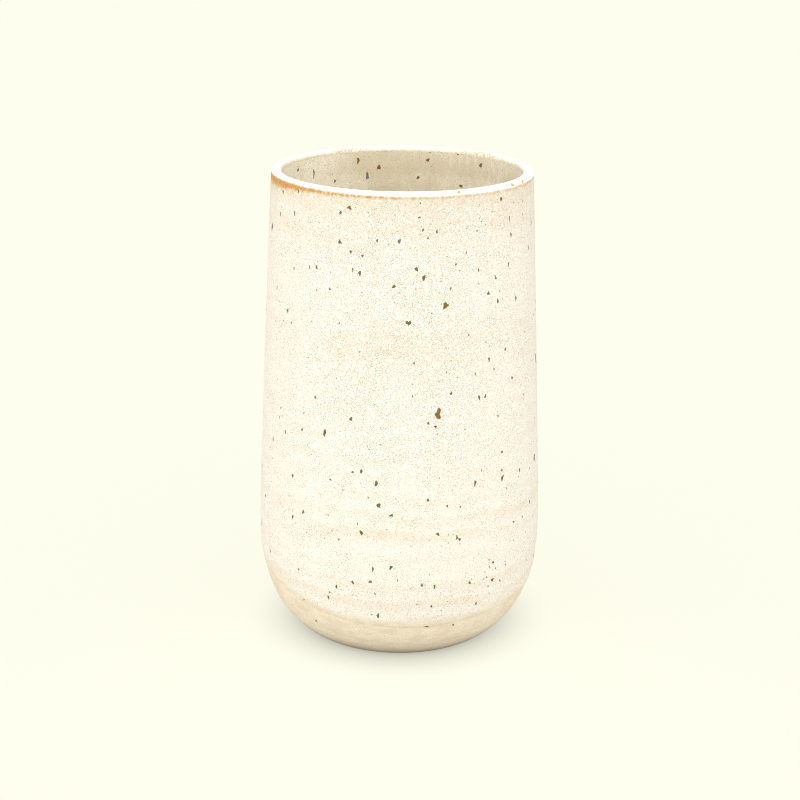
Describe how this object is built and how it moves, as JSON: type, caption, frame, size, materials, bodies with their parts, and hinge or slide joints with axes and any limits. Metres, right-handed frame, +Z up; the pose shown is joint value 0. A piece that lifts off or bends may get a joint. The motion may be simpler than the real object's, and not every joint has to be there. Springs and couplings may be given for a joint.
{
  "type": "stoneware vase",
  "caption": "Tall, gently tapering stoneware vase with a rounded base, a bare trimmed foot and a speckled cream satin glaze over its outside and lip.",
  "frame": {"origin": "centre of the circle that the foot ring stands on", "axes": "+Z up along the vase's axis, towards the mouth; the vase is round, so +X and +Y are free, and the pictured side faces -Y"},
  "size_m": [0.106, 0.106, 0.175],
  "materials": {
    "bare_clay": "matte, fired bare stoneware",
    "outer_glaze": "satin cream glaze with iron specks",
    "liner_glaze": "satin greyish cream glaze with iron specks"
  },
  "bodies": {
    "root": {"clay_body": "bare_clay", "outer_glaze": "outer_glaze", "liner_glaze": "liner_glaze"}
  },
  "joints": []
}
